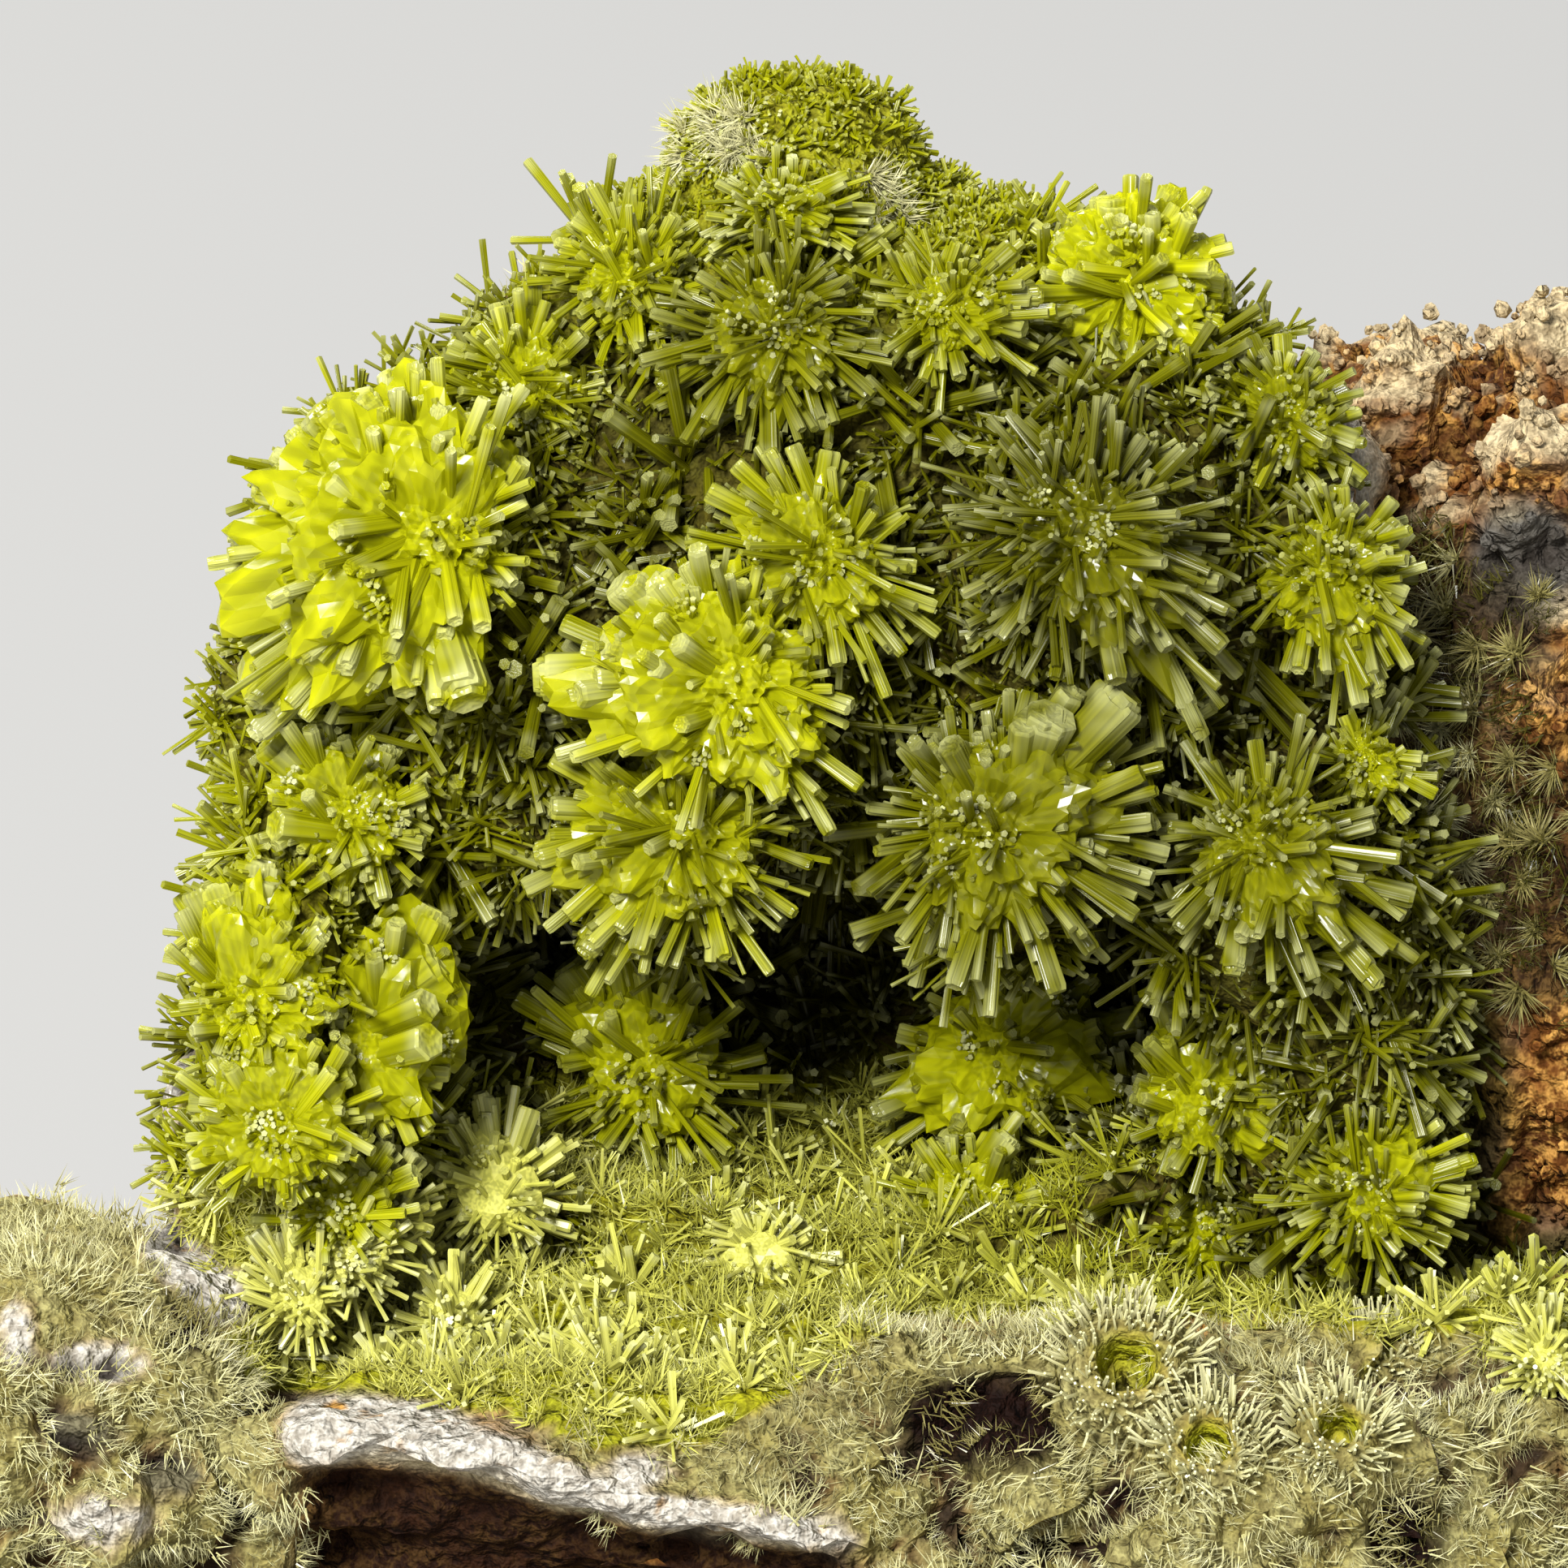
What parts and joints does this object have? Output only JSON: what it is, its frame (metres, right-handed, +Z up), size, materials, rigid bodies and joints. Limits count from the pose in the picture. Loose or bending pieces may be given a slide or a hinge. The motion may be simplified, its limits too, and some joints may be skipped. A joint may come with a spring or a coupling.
{
  "type": "pyromorphite on quartz specimen",
  "caption": "Mineral specimen: sprays of yellow-green hexagonal pyromorphite prisms round and inside an open hollow in rusty drusy quartz, resting on a flat sawn base.",
  "frame": {"origin": "a point of the flat sawn base, under the middle of the hollow, at the foot of the front face as the picture frames it", "axes": "+Z up from the base, +X to the right as seen from the front, -Y out of the hollow towards the viewer"},
  "size_m": [0.0699, 0.0431, 0.0554],
  "materials": {
    "quartz": "rough drusy quartz, white at the broken edges, stained brown and orange by iron",
    "pyromorphite": "yellow-green translucent crystal with a resinous to glassy lustre"
  },
  "bodies": {
    "root": {"quartz_matrix": "quartz", "hollow_crust": "pyromorphite", "spray_left_shoulder": "pyromorphite", "spray_left_ridge_low": "pyromorphite", "spray_left_ridge_high": "pyromorphite", "spray_summit": "pyromorphite", "spray_crown": "pyromorphite", "spray_crown_right": "pyromorphite", "spray_right_horn": "pyromorphite", "spray_centre_top": "pyromorphite", "spray_centre_blades": "pyromorphite", "spray_centre_low": "pyromorphite", "spray_right_blades": "pyromorphite", "spray_right_dome": "pyromorphite", "spray_right_rim_high": "pyromorphite", "spray_right_rim": "pyromorphite", "spray_right_tuft": "pyromorphite", "spray_right_low": "pyromorphite", "spray_left_rim": "pyromorphite", "spray_left_wall": "pyromorphite"}
  },
  "joints": []
}
